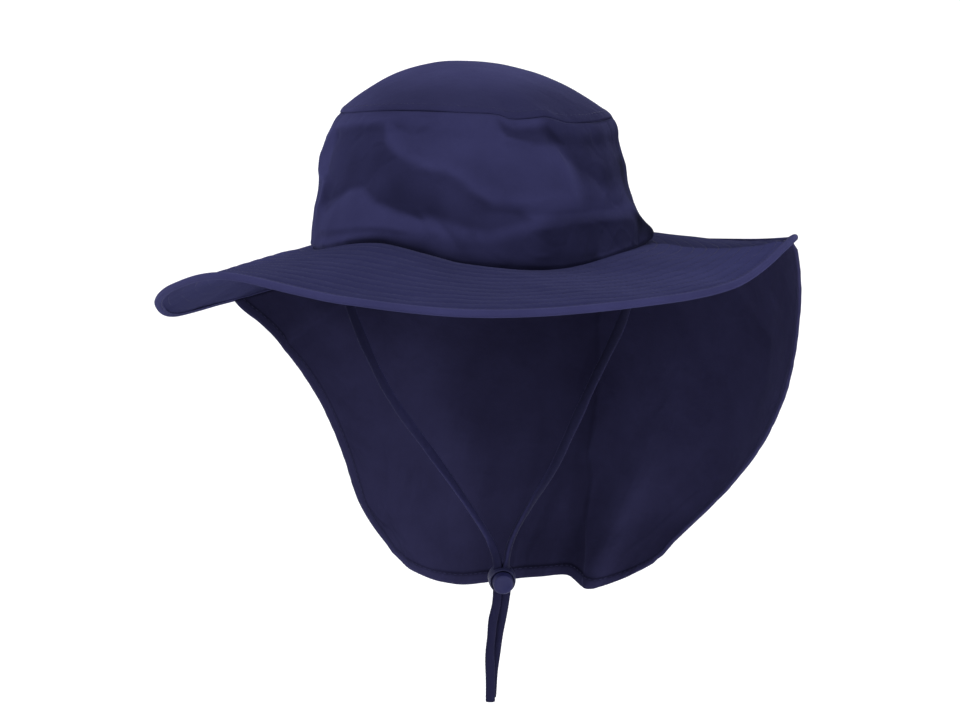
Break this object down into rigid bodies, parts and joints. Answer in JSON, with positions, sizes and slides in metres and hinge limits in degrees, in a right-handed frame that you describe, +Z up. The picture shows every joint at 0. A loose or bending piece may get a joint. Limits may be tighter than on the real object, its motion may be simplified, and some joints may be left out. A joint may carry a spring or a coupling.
{
  "type": "flap sun hat",
  "caption": "Bucket sun hat with a domed crown, wide wavy brim, long neck flap and a chin cord with a spring cord lock.",
  "frame": {"origin": "centre of the head opening, level with the crown's lowest join to the brim", "axes": "+Z up through the crown, -Y towards the front of the brim, +Y towards the neck flap"},
  "size_m": [0.347, 0.3595, 0.3612],
  "materials": {
    "crown_cloth": "smooth navy microfibre polyester, soft sheen",
    "brim_cloth": "smooth navy microfibre polyester, topstitched in rows",
    "edge_tape": "folded navy edge tape",
    "flap_cloth": "smooth navy microfibre polyester, hemmed",
    "cord": "braided navy polyester cord",
    "lock_plastic": "moulded navy plastic, satin",
    "button_plastic": "moulded navy plastic, satin"
  },
  "bodies": {
    "hat": {"crown_side": "crown_cloth", "crown_tip": "crown_cloth", "brim": "brim_cloth", "brim_edge_tape": "edge_tape", "neck_flap": "flap_cloth", "chin_cord_left": "cord", "chin_cord_right": "cord", "lock_barrel": "lock_plastic"},
    "button": {"lock_button": "button_plastic"}
  },
  "joints": [
    {"name": "button_press", "type": "slide", "parent": "hat", "child": "button", "axis": [-0.4067, 0.9136, 0], "range_m": [0, 0.003], "stiffness_N_per_m": 300, "springref_m": -0.002}
  ]
}
